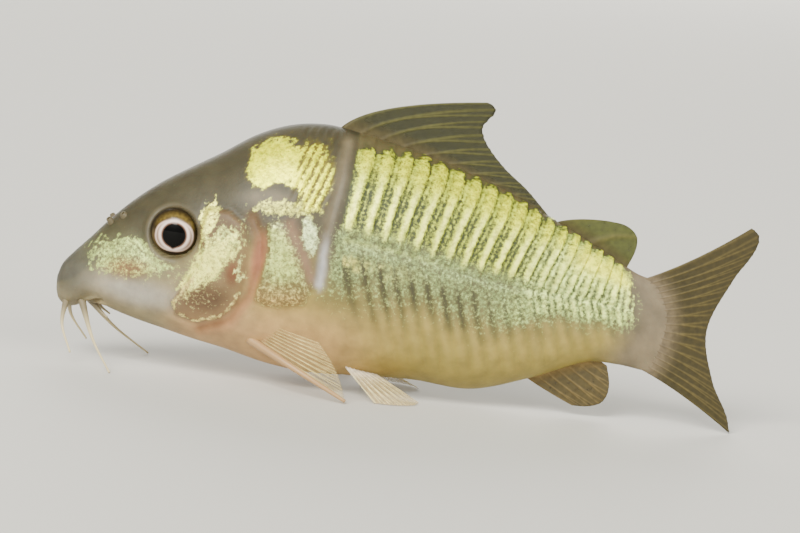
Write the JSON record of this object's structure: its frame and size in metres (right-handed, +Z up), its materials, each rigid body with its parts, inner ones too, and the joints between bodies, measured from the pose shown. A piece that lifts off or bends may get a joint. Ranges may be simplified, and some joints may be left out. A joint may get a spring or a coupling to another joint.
{
  "type": "corydoras catfish model",
  "caption": "Still, life-size model of a deep-bodied armoured catfish, resting on its paired fins, barbels and tail tip.",
  "frame": {"origin": "on the floor, under the middle of the box that holds the whole fish", "axes": "+X from the head towards the tail, +Y towards the fish's right side, +Z up"},
  "size_m": [0.0751, 0.0222, 0.0328],
  "materials": {
    "head_skin": "bony skin, grey-brown with a green-gold sheen",
    "flank_skin": "bony plates, metallic yellow-green over grey and buff",
    "tail_skin": "bony plates, metallic green to lavender grey",
    "gill_skin": "metallic pinkish brown with green-gold edges",
    "fin_skin": "translucent olive-brown skin over paler rays",
    "barbel_skin": "soft pale buff skin",
    "eye": "wet and dark with a pale iris ring"
  },
  "bodies": {
    "root": {"head": "head_skin", "torso": "flank_skin", "tail": "tail_skin", "dorsal_fin": "fin_skin", "adipose_fin": "fin_skin", "anal_fin": "fin_skin", "caudal_fin_upper_lobe": "fin_skin", "caudal_fin_lower_lobe": "fin_skin", "eye_left": "eye", "eye_right": "eye", "gill_cover_left": "gill_skin", "gill_cover_right": "gill_skin", "pectoral_fin_left": "fin_skin", "pectoral_fin_right": "fin_skin", "pelvic_fin_left": "fin_skin", "pelvic_fin_right": "fin_skin", "barbel_lower_left": "barbel_skin", "barbel_lower_right": "barbel_skin", "barbel_upper_left": "barbel_skin", "barbel_upper_right": "barbel_skin", "barbel_chin_left": "barbel_skin", "barbel_chin_right": "barbel_skin"}
  },
  "joints": []
}
